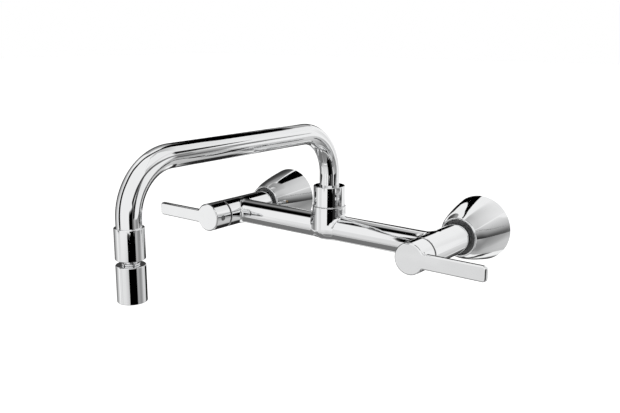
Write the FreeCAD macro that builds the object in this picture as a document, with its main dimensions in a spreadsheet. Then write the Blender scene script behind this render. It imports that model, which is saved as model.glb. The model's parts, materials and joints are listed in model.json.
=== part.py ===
"""Wall-mounted two-handle kitchen mixer with a swinging tube spout and a tilting aerator.

Frame in millimetres: X along the crossbar, Y into the wall, Z up. The origin lies on the wall
plane, midway between the two inlets. Each valve piece is drawn about its own Z axis, where
z is the distance from the wall, and is then laid down so that this axis points away from the wall.
"""
import FreeCAD
import Part
import Sketcher
import math
import os
from types import SimpleNamespace

from FreeCAD import Placement, Rotation, Vector

DRIVING = [
    # Layout
    ("inlet_spacing", 200.0, "between the two wall inlets, centre to centre"),
    ("bar_depth", 74.5, "wall to the axes of the crossbar and of the spout"),
    # Casting
    ("barrel_radius", 11.95, "outside of the two valve barrels"),
    ("barrel_back", 27.0, "wall to the back end of a barrel"),
    ("barrel_front", 97.0, "wall to the front end of a barrel"),
    ("bar_radius", 10.45, "outside of the crossbar"),
    ("channel_radius", 6.0, "water channel in the crossbar"),
    ("waterway_radius", 6.5, "waterway from the wall to the valve seat"),
    ("seat_depth", 62.0, "wall to the valve seat"),
    ("chamber_radius", 9.6, "bore that takes the headwork"),
    ("boss_radius", 13.7, "fixed lower part of the spout boss"),
    ("boss_bottom", -9.9, "underside of the boss"),
    ("boss_rounding", 9.6, "rounding round the underside of the boss"),
    ("seam_height", 17.95, "top of the fixed boss, where the spout collar begins"),
    ("turret_radius", 10.0, "spigot inside the spout collar"),
    ("turret_top", 27.5, "top of the spigot"),
    ("turret_bore", 6.2, "waterway up through the spigot"),
    ("groove_depth", 1.5, "depth of the grooves round the spigot"),
    ("ring_groove", 1.6, "height of a sealing ring's groove"),
    ("upper_groove_drop", 1.0, "top of the spigot to the upper groove"),
    ("screw_groove_play", 0.4, "groove round the retaining screw, above and below it"),
    # Wall connection
    ("stud_radius", 10.48, "half of the G 1/2 thread that screws into the wall"),
    ("stud_length", 14.0, "length of that thread behind the wall plane"),
    ("union_radius", 13.2, "half of the G 3/4 thread under the union nut"),
    ("nipple_length", 17.0, "wall to the front face of the nipple"),
    ("gasket_thickness", 2.0, "flat union gasket"),
    ("tail_collar_radius", 11.6, "collar of the tailpiece that the nut pulls on"),
    ("tail_collar_length", 3.0, "thickness of that collar"),
    ("tail_radius", 9.6, "shank of the tailpiece, screwed into the barrel"),
    ("tail_engagement", 10.0, "length of the shank inside the barrel"),
    ("nut_across_flats", 30.0, "union nut"),
    ("nut_back", 7.0, "wall to the back of the nut"),
    ("nut_lip", 2.9, "thickness of the nut in front of the collar"),
    # Wall flange
    ("flange_wall_radius", 26.7, "flange at the wall"),
    ("flange_front_radius", 15.7, "flange at its front rim"),
    ("flange_depth", 40.2, "wall to the front rim"),
    ("flange_bulge", 1.3, "how far the profile stands out from a straight cone"),
    ("flange_mouth_radius", 14.5, "hole in the front rim"),
    ("flange_lip", 10.2, "depth of the front lip"),
    ("flange_throat_radius", 17.9, "hollow of the flange behind the lip"),
    ("flange_throat_length", 14.0, "length of that hollow"),
    ("flange_hollow_radius", 21.8, "wide hollow at the wall"),
    ("grip_ring_recess", 6.4, "rim to the rubber ring that grips the barrel"),
    ("grip_ring_length", 3.0, "length of that ring along the barrel"),
    # Headwork
    ("seal_thickness", 4.0, "rubber seal on the valve seat"),
    ("seal_radius", 8.4, "outside of that seal"),
    ("seal_bore", 5.4, "hole in that seal"),
    ("disc_radius", 7.5, "ceramic discs"),
    ("disc_thickness", 3.0, "one ceramic disc"),
    ("port_length", 6.0, "slot in a ceramic disc"),
    ("port_width", 2.4, "slot in a ceramic disc"),
    ("port_offset", 3.9, "axis to the middle of a slot"),
    ("cup_depth", 16.0, "length of the headwork cup that holds the discs"),
    ("window_width", 9.0, "side window of the headwork cup"),
    ("window_length", 7.5, "side window of the headwork cup, along its axis"),
    ("spindle_radius", 4.0, "valve spindle"),
    ("spindle_front", 110.6, "wall to the front end of the spindle"),
    ("ring_radius", 11.4, "black ring between barrel and handle"),
    ("ring_thickness", 1.1, "black ring between barrel and handle"),
    # Handle
    ("hub_radius", 11.95, "round hub of the handle"),
    ("hub_length", 17.8, "round hub of the handle"),
    ("socket_end_gap", 0.4, "spindle end to the bottom of its socket"),
    ("lever_reach", 58.9, "handle axis to the tip of the lever"),
    ("lever_height", 11.4, "width of the flat lever"),
    ("lever_thickness", 4.0, "thickness of the flat lever"),
    ("lever_corner", 2.6, "corner radius at the tip"),
    ("lever_edge", 0.5, "rounding of the lever's front and back edges"),
    ("screw_depth", 108.3, "wall to the axis of the set screw"),
    ("screw_radius", 2.0, "half of the M4 set screw"),
    ("screw_length", 6.2, "set screw"),
    ("plug_radius", 2.35, "plug over the set screw"),
    ("plug_length", 1.1, "plug over the set screw"),
    ("plug_recess", 0.25, "hub surface to the face of the plug"),
    # Spout
    ("collar_radius", 12.97, "collar that turns with the spout"),
    ("collar_top", 34.75, "top of the collar"),
    ("collar_roof", 1.5, "web under the end of the tube"),
    ("glide_thickness", 0.3, "glide ring in the seam"),
    ("tube_radius", 8.0, "outside of the spout tube"),
    ("tube_wall", 1.0, "wall of the spout tube"),
    ("tube_height", 80.0, "height of the level run of the spout"),
    ("rear_bend", 36.0, "bend above the collar, at the middle of the tube"),
    ("front_bend", 35.0, "bend above the aerator, at the middle of the tube"),
    ("reach", 206.6, "collar axis to aerator axis"),
    ("tube_end", 32.2, "height of the lower end of the tube"),
    ("grub_radius", 1.5, "half of the M3 screw that keeps the collar down"),
    ("grub_height", 22.7, "height of that screw"),
    # End sleeve and aerator
    ("sleeve_radius", 9.35, "sleeve on the end of the tube"),
    ("sleeve_top", 40.6, "top of the sleeve"),
    ("sleeve_bottom", 20.7, "bottom of the sleeve"),
    ("sleeve_lip", 1.3, "thickness of the lip under the ball"),
    ("ball_radius", 6.3, "ball of the aerator joint"),
    ("ball_band", 1.6, "half height of the band round the middle of the ball"),
    ("ball_height", 24.7, "height of the centre of the ball"),
    ("neck_stem_radius", 4.3, "neck below the ball"),
    ("stem_bore", 2.8, "waterway through the ball"),
    ("flare_radius", 5.7, "bright ring on top of the aerator"),
    ("flare_height", 1.3, "bright ring on top of the aerator"),
    ("stem_thread", 4.6, "length of the neck screwed into the aerator"),
    ("aerator_radius", 9.3, "aerator housing"),
    ("aerator_top", 17.1, "top of the housing"),
    ("aerator_bottom", -6.4, "bottom of the housing"),
    ("aerator_roof", 3.6, "thickness of the housing's roof"),
    ("aerator_wall", 1.4, "wall of the housing"),
    ("aerator_lip", 1.2, "lip that keeps the insert in"),
    ("insert_height", 7.0, "jet insert"),
    ("insert_wall", 1.1, "rim of the jet insert"),
    ("insert_web", 0.9, "cross ribs of the jet insert"),
    # Fits
    ("thread_clearance", 0.05, "radial gap of a screwed or pressed piece"),
    ("running_clearance", 0.05, "radial gap of a turning or sliding piece"),
    ("glide_gap", 0.08, "gap between flat faces that turn on each other"),
    ("headwork_clearance", 0.1, "radial gap of the headwork in its chamber"),
    ("hollow_margin", 0.4, "how far a bore overruns the space that it opens into"),
]


class Size:
    """A length and the sheet expression that gives it."""

    def __init__(self, value, text):
        self.value = value
        self.text = text

    @staticmethod
    def of(other):
        if isinstance(other, Size):
            return other
        return Size(float(other), repr(float(other)))

    def joined(self, sign, other, value):
        return Size(value, f"({self.text} {sign} {other.text})")

    def __add__(self, other):
        other = Size.of(other)
        return self.joined("+", other, self.value + other.value)

    def __sub__(self, other):
        other = Size.of(other)
        return self.joined("-", other, self.value - other.value)

    def __mul__(self, other):
        other = Size.of(other)
        return self.joined("*", other, self.value * other.value)

    def __truediv__(self, other):
        other = Size.of(other)
        return self.joined("/", other, self.value / other.value)

    def __neg__(self):
        return Size(-self.value, f"(-1.0 * {self.text})")

    def squared(self):
        return self * self

    def root(self):
        return Size(math.sqrt(self.value), f"sqrt({self.text})")


class Arc:
    """Marks that an outline goes on to its next point along an arc through this one."""

    def __init__(self, x, y):
        self.x = Size.of(x)
        self.y = Size.of(y)


doc = FreeCAD.newDocument("kitchen_mixer")
sheet = doc.addObject("Spreadsheet::Sheet", "Sizes")
for row, (alias, value, meaning) in enumerate(DRIVING, start=1):
    sheet.set(f"A{row}", meaning)
    sheet.set(f"B{row}", str(value))
    sheet.setAlias(f"B{row}", alias)
doc.recompute()

s = SimpleNamespace(**{alias: Size(value, f"Sizes.{alias}") for alias, value, _ in DRIVING})
ZERO = Size(0.0, "0")
H_AXIS = -1
V_AXIS = -2
HALF_ROOT_TWO = math.sqrt(0.5)
HALF_ROOT_THREE = math.sqrt(0.75)
FLANGE_STEPS = 4
BEND_STEPS = 7
BOSS_STEPS = 3

# Heights and depths that several pieces share
gasket_front = s.nipple_length + s.gasket_thickness
collar_front = gasket_front + s.tail_collar_length
nut_front = collar_front + s.nut_lip
disc_back = s.seat_depth + s.seal_thickness
disc_split = disc_back + s.disc_thickness
disc_front = disc_split + s.glide_gap + s.disc_thickness
cup_front = disc_back + s.cup_depth
ring_front = s.barrel_front + s.ring_thickness
hub_back = ring_front + s.glide_gap
hub_front = hub_back + s.hub_length
lever_back = hub_front - s.lever_thickness
glide_top = s.seam_height + s.glide_thickness
collar_bottom = glide_top + s.running_clearance
collar_web = s.turret_top + s.hollow_margin
tube_start = collar_web + s.collar_roof
upper_top = s.turret_top - s.upper_groove_drop
upper_groove = (upper_top - s.ring_groove, upper_top)
screw_reach = s.grub_radius + s.screw_groove_play
screw_groove = (s.grub_height - screw_reach, s.grub_height + screw_reach)
headwork_radius = s.chamber_radius - s.headwork_clearance
spout_depth = s.bar_depth + s.reach


def plane_of(body, role):
    return next(item for item in body.Origin.OriginFeatures if item.Role == role)


def new_body(label, place):
    body = doc.addObject("PartDesign::Body", label)
    body.Label = label
    body.Placement = place
    return body


def new_sketch(body, role, offset=None):
    sketch = body.newObject("Sketcher::SketchObject", "outline")
    sketch.AttachmentSupport = [(plane_of(body, role), "")]
    sketch.MapMode = "FlatFace"
    if offset is not None:
        sketch.AttachmentOffset = Placement(Vector(0, 0, offset.value), Rotation())
        sketch.setExpression("AttachmentOffset.Base.z", offset.text)
    return sketch


def pin(sketch, item, corner, x, y):
    """Hold one point of a sketch at two sizes, measured from the sketch's origin."""
    for kind, axis, size in (("DistanceX", V_AXIS, x), ("DistanceY", H_AXIS, y)):
        if size is ZERO:
            sketch.addConstraint(Sketcher.Constraint("PointOnObject", item, corner, axis))
        else:
            index = sketch.addConstraint(Sketcher.Constraint(kind, H_AXIS, 1, item, corner, size.value))
            sketch.setExpression(f"Constraints[{index}]", size.text)


def draw(sketch, outline, closed=True):
    """Draw lines and arcs through the points of an outline and hold each point."""
    corners = []
    bends = {}
    for item in outline:
        if isinstance(item, Arc):
            bends[len(corners) - 1] = item
        else:
            corners.append(item)
    count = len(corners) if closed else len(corners) - 1
    pieces = []
    for index in range(count):
        start = Vector(corners[index][0].value, corners[index][1].value, 0)
        after = corners[(index + 1) % len(corners)]
        stop = Vector(after[0].value, after[1].value, 0)
        if index in bends:
            through = Vector(bends[index].x.value, bends[index].y.value, 0)
            item = sketch.addGeometry(Part.Arc(start, through, stop), False)
        else:
            item = sketch.addGeometry(Part.LineSegment(start, stop), False)
        ends = (1, 2) if (sketch.getPoint(item, 1) - start).Length < 1e-6 else (2, 1)
        pieces.append((item, *ends))
    for index, (item, first, last) in enumerate(pieces):
        pin(sketch, item, first, *corners[index])
        if closed or index + 1 < count:
            after = pieces[(index + 1) % count]
            sketch.addConstraint(Sketcher.Constraint("Coincident", item, last, after[0], after[1]))
        else:
            pin(sketch, item, last, *corners[-1])
        if index in bends:
            through = Vector(bends[index].x.value, bends[index].y.value, 0)
            mark = sketch.addGeometry(Part.Point(through), True)
            pin(sketch, mark, 1, bends[index].x, bends[index].y)
            sketch.addConstraint(Sketcher.Constraint("PointOnObject", mark, 1, item))


def draw_circle(sketch, radius, x=None, y=None):
    x = ZERO if x is None else x
    y = ZERO if y is None else y
    centre = Vector(x.value, y.value, 0)
    item = sketch.addGeometry(Part.Circle(centre, Vector(0, 0, 1), radius.value), False)
    pin(sketch, item, 3, x, y)
    index = sketch.addConstraint(Sketcher.Constraint("Radius", item, radius.value))
    sketch.setExpression(f"Constraints[{index}]", radius.text)


def draw_box(sketch, x0, y0, x1, y1):
    draw(sketch, [(x0, y0), (x1, y0), (x1, y1), (x0, y1)])


def checked(body, feature, cuts):
    """Recompute and make sure that the feature added or removed material."""
    before = feature.BaseFeature.Shape.Volume if feature.BaseFeature else 0.0
    doc.recompute()
    change = feature.Shape.Volume - before
    if (change < 0) != cuts or abs(change) < 1e-6:
        raise RuntimeError(f"{body.Label}: {feature.Name} changed the volume by {change:.3f}")
    return feature


def revolve(body, outline, offset=None, cuts=False):
    """Turn an outline of (radius, height) points about the body's Z axis."""
    sketch = new_sketch(body, "XZ_Plane", offset)
    draw(sketch, outline)
    feature = body.newObject("PartDesign::Groove" if cuts else "PartDesign::Revolution", "turned")
    feature.Profile = sketch
    feature.ReferenceAxis = (sketch, ["V_Axis"])
    feature.Angle = 360
    return checked(body, feature, cuts)


def extrude(body, sketch, length, cuts=False, side="One side", turned_round=False):
    """Pad or pocket a sketch; a pocket goes against the sketch's normal unless turned round."""
    feature = body.newObject("PartDesign::Pocket" if cuts else "PartDesign::Pad", "extruded")
    feature.Profile = sketch
    feature.SideType = side
    feature.Reversed = turned_round
    feature.Length = length.value
    feature.setExpression("Length", length.text)
    return checked(body, feature, cuts)


def chamfer(body, size, wanted):
    """Chamfer the edges of the body that the test picks out."""
    base = body.Tip
    names = [f"Edge{i}" for i, edge in enumerate(base.Shape.Edges, start=1) if wanted(edge)]
    if not names:
        raise RuntimeError(f"{body.Label}: no edge to chamfer")
    feature = body.newObject("PartDesign::Chamfer", "chamfer")
    feature.Base = (base, names)
    feature.Size = size.value
    feature.setExpression("Size", size.text)
    return checked(body, feature, True)


def facing(x_side):
    """Place a valve piece: its Z axis points away from the wall, a lever on +X points outwards."""
    upright = Rotation(Vector(1, 0, 0), 90)
    turn = Rotation(Vector(0, 0, 1), 0 if x_side > 0 else 180)
    return Placement(Vector(x_side * s.inlet_spacing.value / 2, 0, 0), upright * turn)


def bind_side(body, x_side):
    half = s.inlet_spacing / 2 * x_side
    body.setExpression(".Placement.Base.x", half.text)


def ring(label, place, inner, outer, bottom, top):
    """A plain turned ring between two heights."""
    body = new_body(label, place)
    revolve(body, [(inner, bottom), (outer, bottom), (outer, top), (inner, top)])
    return body


def make_casting():
    body = new_body("body_casting", Placement())
    bar = new_sketch(body, "YZ_Plane")
    draw_circle(bar, s.bar_radius, -s.bar_depth, ZERO)
    extrude(body, bar, s.inlet_spacing, side="Symmetric")
    rim = s.boss_radius - s.boss_rounding
    underside = [(ZERO, s.boss_bottom)]
    for step in range(BOSS_STEPS + 1):
        angle = 90 * step / BOSS_STEPS
        underside.append((rim + s.boss_rounding * sine(angle),
                          s.boss_bottom + s.boss_rounding * (1 - cosine(angle))))
    revolve(body, underside + [
        (s.boss_radius, s.seam_height),
        (ZERO, s.seam_height),
    ], offset=s.bar_depth)
    barrels = new_sketch(body, "XZ_Plane", s.barrel_back)
    for x_side in (-1, 1):
        draw_circle(barrels, s.barrel_radius, s.inlet_spacing / 2 * x_side, ZERO)
    extrude(body, barrels, s.barrel_front - s.barrel_back)
    add_turret(body)
    for radius, start, stop in (
        (s.tail_radius + s.thread_clearance, s.barrel_back, s.barrel_back + s.tail_engagement),
        (s.waterway_radius, s.barrel_back, s.seat_depth + s.hollow_margin),
        (s.chamber_radius, s.seat_depth, s.barrel_front),
    ):
        bores = new_sketch(body, "XZ_Plane", start)
        for x_side in (-1, 1):
            draw_circle(bores, radius, s.inlet_spacing / 2 * x_side, ZERO)
        extrude(body, bores, stop - start, cuts=True, turned_round=True)
    channel = new_sketch(body, "YZ_Plane")
    draw_circle(channel, s.channel_radius, -s.bar_depth, ZERO)
    extrude(body, channel, s.inlet_spacing, cuts=True, side="Symmetric")
    riser = new_sketch(body, "XY_Plane")
    draw_circle(riser, s.turret_bore, ZERO, -s.bar_depth)
    extrude(body, riser, s.turret_top, cuts=True, turned_round=True)
    return body


def add_turret(body):
    revolve(body, [
        (ZERO, s.seam_height),
        (s.turret_radius, s.seam_height),
        (s.turret_radius, s.turret_top),
        (ZERO, s.turret_top),
    ], offset=s.bar_depth)
    floor = s.turret_radius - s.groove_depth
    for bottom, top in (screw_groove, upper_groove):
        revolve(body, [
            (floor, bottom),
            (s.turret_radius + s.hollow_margin, bottom),
            (s.turret_radius + s.hollow_margin, top),
            (floor, top),
        ], offset=s.bar_depth, cuts=True)


def make_wall_union(side, x_side):
    """Nipple, gasket, tailpiece and union nut that carry a barrel on its wall inlet."""
    place = facing(x_side)
    nipple = new_body(f"{side}_inlet_nipple", place)
    revolve(nipple, [
        (s.waterway_radius, -s.stud_length),
        (s.stud_radius, -s.stud_length),
        (s.stud_radius, ZERO),
        (s.union_radius, ZERO),
        (s.union_radius, s.nipple_length),
        (s.waterway_radius, s.nipple_length),
    ])
    gasket = ring(f"{side}_union_gasket", place, s.waterway_radius, s.union_radius - s.thread_clearance,
                  s.nipple_length, gasket_front)
    tail = new_body(f"{side}_tailpiece", place)
    tail_front = s.barrel_back + s.tail_engagement
    revolve(tail, [
        (s.waterway_radius, gasket_front),
        (s.tail_collar_radius, gasket_front),
        (s.tail_collar_radius, collar_front),
        (s.tail_radius, collar_front),
        (s.tail_radius, tail_front),
        (s.waterway_radius, tail_front),
    ])
    nut = new_body(f"{side}_union_nut", place)
    hexagon = new_sketch(nut, "XY_Plane", s.nut_back)
    corner = s.nut_across_flats / 2 / HALF_ROOT_THREE
    flat = s.nut_across_flats / 2
    draw(hexagon, [
        (corner, ZERO),
        (corner / 2, flat),
        (-corner / 2, flat),
        (-corner, ZERO),
        (-corner / 2, -flat),
        (corner / 2, -flat),
    ])
    extrude(nut, hexagon, nut_front - s.nut_back)
    thread = s.union_radius + s.thread_clearance
    throat = s.tail_radius + s.running_clearance
    revolve(nut, [
        (ZERO, s.nut_back),
        (thread, s.nut_back),
        (thread, collar_front),
        (throat, collar_front),
        (throat, nut_front),
        (ZERO, nut_front),
    ], cuts=True)
    return [nipple, gasket, tail, nut]


def make_flange(side, x_side):
    """Trumpet-shaped flange, turned from the solid, that hides the union, and the ring in its mouth."""
    place = facing(x_side)
    flange = new_body(f"{side}_flange", place)
    lip_back = s.flange_depth - s.flange_lip
    throat_back = lip_back - s.flange_throat_length
    fall = s.flange_wall_radius - s.flange_front_radius
    profile = [(s.flange_wall_radius, ZERO)]
    for step in range(1, FLANGE_STEPS):
        share = step / FLANGE_STEPS
        swell = s.flange_bulge * (4 * share * (1 - share))
        profile.append((s.flange_wall_radius - fall * share + swell, s.flange_depth * share))
    revolve(flange, profile + [
        (s.flange_front_radius, s.flange_depth),
        (s.flange_mouth_radius, s.flange_depth),
        (s.flange_mouth_radius, lip_back),
        (s.flange_throat_radius, lip_back),
        (s.flange_throat_radius, throat_back),
        (s.flange_hollow_radius, throat_back),
        (s.flange_hollow_radius, ZERO),
    ])
    grip_front = s.flange_depth - s.grip_ring_recess
    grip = ring(f"{side}_grip", place, s.barrel_radius, s.flange_mouth_radius,
                grip_front - s.grip_ring_length, grip_front)
    return [flange, grip]


def make_headwork(side, x_side):
    """Fixed part of the ceramic valve: seat seal, lower disc, brass cup and the black ring."""
    place = facing(x_side)
    seal = ring(f"{side}_seat_seal", place, s.seal_bore, s.seal_radius, s.seat_depth, disc_back)
    disc = make_disc(f"{side}_fixed_disc", place, disc_back, disc_split)
    cup = new_body(f"{side}_headwork", place)
    cup_bore = s.disc_radius + s.running_clearance
    gland = s.spindle_radius + s.running_clearance
    revolve(cup, [
        (cup_bore, disc_back),
        (headwork_radius, disc_back),
        (headwork_radius, s.barrel_front),
        (gland, s.barrel_front),
        (gland, cup_front),
        (cup_bore, cup_front),
    ])
    window = new_sketch(cup, "YZ_Plane")
    half = s.window_width / 2
    draw_box(window, -half, disc_split, half, disc_split + s.window_length)
    extrude(cup, window, headwork_radius * 2 + s.hollow_margin, cuts=True, side="Symmetric")
    black = ring(f"{side}_black_ring", place, s.chamber_radius, s.ring_radius, s.barrel_front, ring_front)
    return [seal, disc, cup, black]


def make_disc(label, place, bottom, top):
    """Ceramic disc with its two water slots."""
    body = new_body(label, place)
    revolve(body, [(ZERO, bottom), (s.disc_radius, bottom), (s.disc_radius, top), (ZERO, top)])
    slots = new_sketch(body, "XY_Plane", bottom)
    half_long = s.port_length / 2
    inner = s.port_offset - s.port_width / 2
    outer = s.port_offset + s.port_width / 2
    draw_box(slots, inner, -half_long, outer, half_long)
    draw_box(slots, -outer, -half_long, -inner, half_long)
    extrude(body, slots, top - bottom, cuts=True, turned_round=True)
    return body


def make_handle(side, x_side):
    """Lever handle with its spindle, moving disc, set screw and plug."""
    place = facing(x_side)
    handle = new_body(f"{side}_handle", place)
    socket = s.spindle_radius + s.thread_clearance
    socket_top = s.spindle_front + s.socket_end_gap
    revolve(handle, [
        (socket, hub_back),
        (s.hub_radius, hub_back),
        (s.hub_radius, hub_front),
        (ZERO, hub_front),
        (ZERO, socket_top),
        (socket, socket_top),
    ])
    lever = new_sketch(handle, "XY_Plane", lever_back)
    half = s.lever_height / 2
    root = s.hub_radius / 2
    bend = s.lever_reach - s.lever_corner
    inset = s.lever_corner * (1 - HALF_ROOT_TWO)
    draw(lever, [
        (root, -half),
        (bend, -half),
        Arc(s.lever_reach - inset, inset - half),
        (s.lever_reach, s.lever_corner - half),
        (s.lever_reach, half - s.lever_corner),
        Arc(s.lever_reach - inset, half - inset),
        (bend, half),
        (root, half),
    ])
    extrude(handle, lever, s.lever_thickness)
    face = hub_front.value
    chamfer(handle, s.lever_edge, lambda edge: edge.BoundBox.ZMin > face - 1e-6)
    hole = new_sketch(handle, "YZ_Plane")
    draw_circle(hole, s.screw_radius + s.thread_clearance, ZERO, s.screw_depth)
    extrude(handle, hole, s.hub_radius, cuts=True)
    plug_seat = s.hub_radius - s.plug_recess - s.plug_length
    counterbore = new_sketch(handle, "YZ_Plane", -plug_seat)
    draw_circle(counterbore, s.plug_radius + s.thread_clearance, ZERO, s.screw_depth)
    extrude(handle, counterbore, s.plug_recess + s.plug_length, cuts=True)
    screw_start = s.spindle_radius + s.thread_clearance
    screw = radial_pin(f"{side}_set_screw", place, s.screw_radius, screw_start, s.screw_length)
    plug = radial_pin(f"{side}_index_plug", place, s.plug_radius, plug_seat, s.plug_length)
    spindle = new_body(f"{side}_spindle", place)
    revolve(spindle, [
        (ZERO, disc_front),
        (s.spindle_radius, disc_front),
        (s.spindle_radius, s.spindle_front),
        (ZERO, s.spindle_front),
    ])
    disc = make_disc(f"{side}_moving_disc", place, disc_split + s.glide_gap, disc_front)
    return [handle, screw, plug, spindle, disc]


def radial_pin(label, place, radius, start, length):
    """Round pin that lies across the handle, on the side away from the lever."""
    body = new_body(label, place)
    sketch = new_sketch(body, "YZ_Plane", -start)
    draw_circle(sketch, radius, ZERO, s.screw_depth)
    extrude(body, sketch, length, turned_round=True)
    return body


def make_tube(place):
    """Bent tube: cross-sections along its centre line, joined by straight facets in the bends."""
    tube = new_body("spout_tube", place)
    high = s.tube_height
    sections = [(ZERO, tube_start, 0)]
    for step in range(BEND_STEPS + 1):
        angle = 90 * step / BEND_STEPS
        sections.append((s.rear_bend * (cosine(angle) - 1), high - s.rear_bend * (1 - sine(angle)), angle))
    for step in range(BEND_STEPS + 1):
        angle = 90 * step / BEND_STEPS
        sections.append((s.front_bend * (1 - sine(angle)) - s.reach,
                         high - s.front_bend * (1 - cosine(angle)), 90 + angle))
    sections.append((-s.reach, s.tube_end, 180))
    rings = []
    for y, z, angle in sections:
        sketch = new_sketch(tube, "XY_Plane")
        sketch.AttachmentOffset = Placement(Vector(0, y.value, z.value), Rotation(Vector(1, 0, 0), angle))
        sketch.setExpression("AttachmentOffset.Base.y", y.text)
        sketch.setExpression("AttachmentOffset.Base.z", z.text)
        draw_circle(sketch, s.tube_radius)
        draw_circle(sketch, s.tube_radius - s.tube_wall)
        rings.append(sketch)
    loft = tube.newObject("PartDesign::AdditiveLoft", "bent_tube")
    loft.Profile = rings[0]
    loft.Sections = rings[1:]
    loft.Ruled = True
    checked(tube, loft, False)
    return tube


def sine(angle):
    return math.sin(math.radians(angle))


def cosine(angle):
    return math.cos(math.radians(angle))


def make_spout():
    """Tube, collar and sleeve that swing together, with the rings on the fixed spigot."""
    place = Placement(Vector(0, -s.bar_depth.value, 0), Rotation())
    tube = make_tube(place)
    collar = new_body("spout_collar", place)
    bore = s.turret_radius + s.running_clearance
    socket = s.tube_radius + s.thread_clearance
    revolve(collar, [
        (bore, collar_bottom),
        (s.collar_radius, collar_bottom),
        (s.collar_radius, s.collar_top),
        (socket, s.collar_top),
        (socket, tube_start),
        (s.tube_radius - s.tube_wall, tube_start),
        (s.tube_radius - s.tube_wall, collar_web),
        (bore, collar_web),
    ])
    hole = new_sketch(collar, "XZ_Plane")
    draw_circle(hole, s.grub_radius + s.thread_clearance, ZERO, s.grub_height)
    extrude(collar, hole, s.collar_radius, cuts=True)
    grub = new_body("collar_grub_screw", place)
    inner = s.turret_radius - s.groove_depth + s.hollow_margin
    screw = new_sketch(grub, "XZ_Plane", -inner)
    draw_circle(screw, s.grub_radius, ZERO, s.grub_height)
    extrude(grub, screw, s.collar_radius - s.hollow_margin - inner, turned_round=True)
    glide = ring("spout_glide_ring", place, bore, s.collar_radius - s.hollow_margin,
                 s.seam_height, glide_top)
    floor = s.turret_radius - s.groove_depth
    seal = ring("spout_seal_ring", place, floor, s.turret_radius, *upper_groove)
    return [tube, collar, grub, glide, seal]


def make_end_joint():
    """Sleeve on the tube's end with the ball seat that lets the aerator turn and tilt."""
    place = Placement(Vector(0, -spout_depth.value, 0), Rotation())
    sleeve = new_body("end_sleeve", place)
    bore = s.tube_radius + s.thread_clearance
    lip_top = s.sleeve_bottom + s.sleeve_lip
    throat = (s.ball_radius.squared() - (s.ball_height - lip_top).squared()).root() + s.running_clearance
    revolve(sleeve, [
        (throat, s.sleeve_bottom),
        (s.sleeve_radius, s.sleeve_bottom),
        (s.sleeve_radius, s.sleeve_top),
        (bore, s.sleeve_top),
        (bore, lip_top),
        (throat, lip_top),
    ])
    seat = new_body("ball_seat", place)
    cap = s.neck_stem_radius
    cap_height = s.ball_height + (s.ball_radius.squared() - cap.squared()).root()
    ball_bore = s.ball_radius + s.running_clearance
    revolve(seat, [
        (ball_bore, s.ball_height),
        (s.tube_radius, s.ball_height),
        (s.tube_radius, s.tube_end - s.glide_gap),
        (cap + s.running_clearance, s.tube_end - s.glide_gap),
        (cap + s.running_clearance, cap_height),
        (ball_bore, cap_height),
    ])
    return [sleeve, seat]


def make_aerator():
    """Ball stem, housing and jet insert that tilt under the sleeve."""
    place = Placement(Vector(0, -spout_depth.value, 0), Rotation())
    stem = new_body("ball_stem", place)
    reach_down = (s.ball_radius.squared() - s.neck_stem_radius.squared()).root()
    band_radius = (s.ball_radius.squared() - s.ball_band.squared()).root()
    top = s.ball_height + reach_down
    bottom = s.ball_height - reach_down
    flare_top = s.aerator_top + s.flare_height
    thread_bottom = s.aerator_top - s.stem_thread
    revolve(stem, [
        (s.stem_bore, top),
        (s.neck_stem_radius, top),
        (band_radius, s.ball_height + s.ball_band),
        (band_radius, s.ball_height - s.ball_band),
        (s.neck_stem_radius, bottom),
        (s.neck_stem_radius, flare_top),
        (s.flare_radius, flare_top),
        (s.flare_radius, s.aerator_top),
        (s.neck_stem_radius, s.aerator_top),
        (s.neck_stem_radius, thread_bottom),
        (s.stem_bore, thread_bottom),
    ])
    housing = new_body("aerator_housing", place)
    thread = s.neck_stem_radius + s.thread_clearance
    inner = s.aerator_radius - s.aerator_wall
    roof = s.aerator_top - s.aerator_roof
    revolve(housing, [
        (inner - s.aerator_lip, s.aerator_bottom),
        (s.aerator_radius, s.aerator_bottom),
        (s.aerator_radius, s.aerator_top),
        (thread, s.aerator_top),
        (thread, roof),
        (inner, roof),
        (inner, s.aerator_bottom + s.aerator_lip),
        (inner - s.aerator_lip, s.aerator_bottom + s.aerator_lip),
    ])
    floor = s.aerator_bottom + s.aerator_lip
    insert = new_body("jet_insert", place)
    outer = inner - s.thread_clearance
    insert_top = floor + s.insert_height
    revolve(insert, [
        (outer - s.insert_wall, floor),
        (outer, floor),
        (outer, insert_top),
        (outer - s.insert_wall, insert_top),
    ])
    for across in (True, False):
        rib = new_sketch(insert, "XY_Plane", floor)
        long_side = outer - s.insert_wall / 2
        thin_side = s.insert_web / 2
        x, y = (long_side, thin_side) if across else (thin_side, long_side)
        draw_box(rib, -x, -y, x, y)
        extrude(insert, rib, s.insert_height / 2)
    return [stem, housing, insert]


def joined(label, bodies):
    """One sub-part of two alike pieces, one at each inlet."""
    pair = doc.addObject("Part::Compound", label)
    pair.Label = label
    pair.Links = bodies
    return pair


def all_pieces():
    sides = (("left", -1), ("right", 1))
    fixed = []
    moving = []
    for side, x_side in sides:
        pair = make_wall_union(side, x_side) + make_flange(side, x_side) + make_headwork(side, x_side)
        handle = make_handle(side, x_side)
        for body in pair + handle:
            bind_side(body, x_side)
        fixed.append(pair)
        moving += handle
    labels = ("inlet_nipples", "union_gaskets", "tailpieces", "union_nuts", "wall_flanges",
              "flange_grip_rings", "seat_seals", "fixed_discs", "headworks", "black_rings")
    pairs = [joined(label, list(bodies)) for label, bodies in zip(labels, zip(*fixed))]
    spout = make_spout()
    for body in spout:
        body.setExpression(".Placement.Base.y", (-s.bar_depth).text)
    end = make_end_joint() + make_aerator()
    for body in end:
        body.setExpression(".Placement.Base.y", (-spout_depth).text)
    return [make_casting()] + pairs + moving + spout + end


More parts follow.
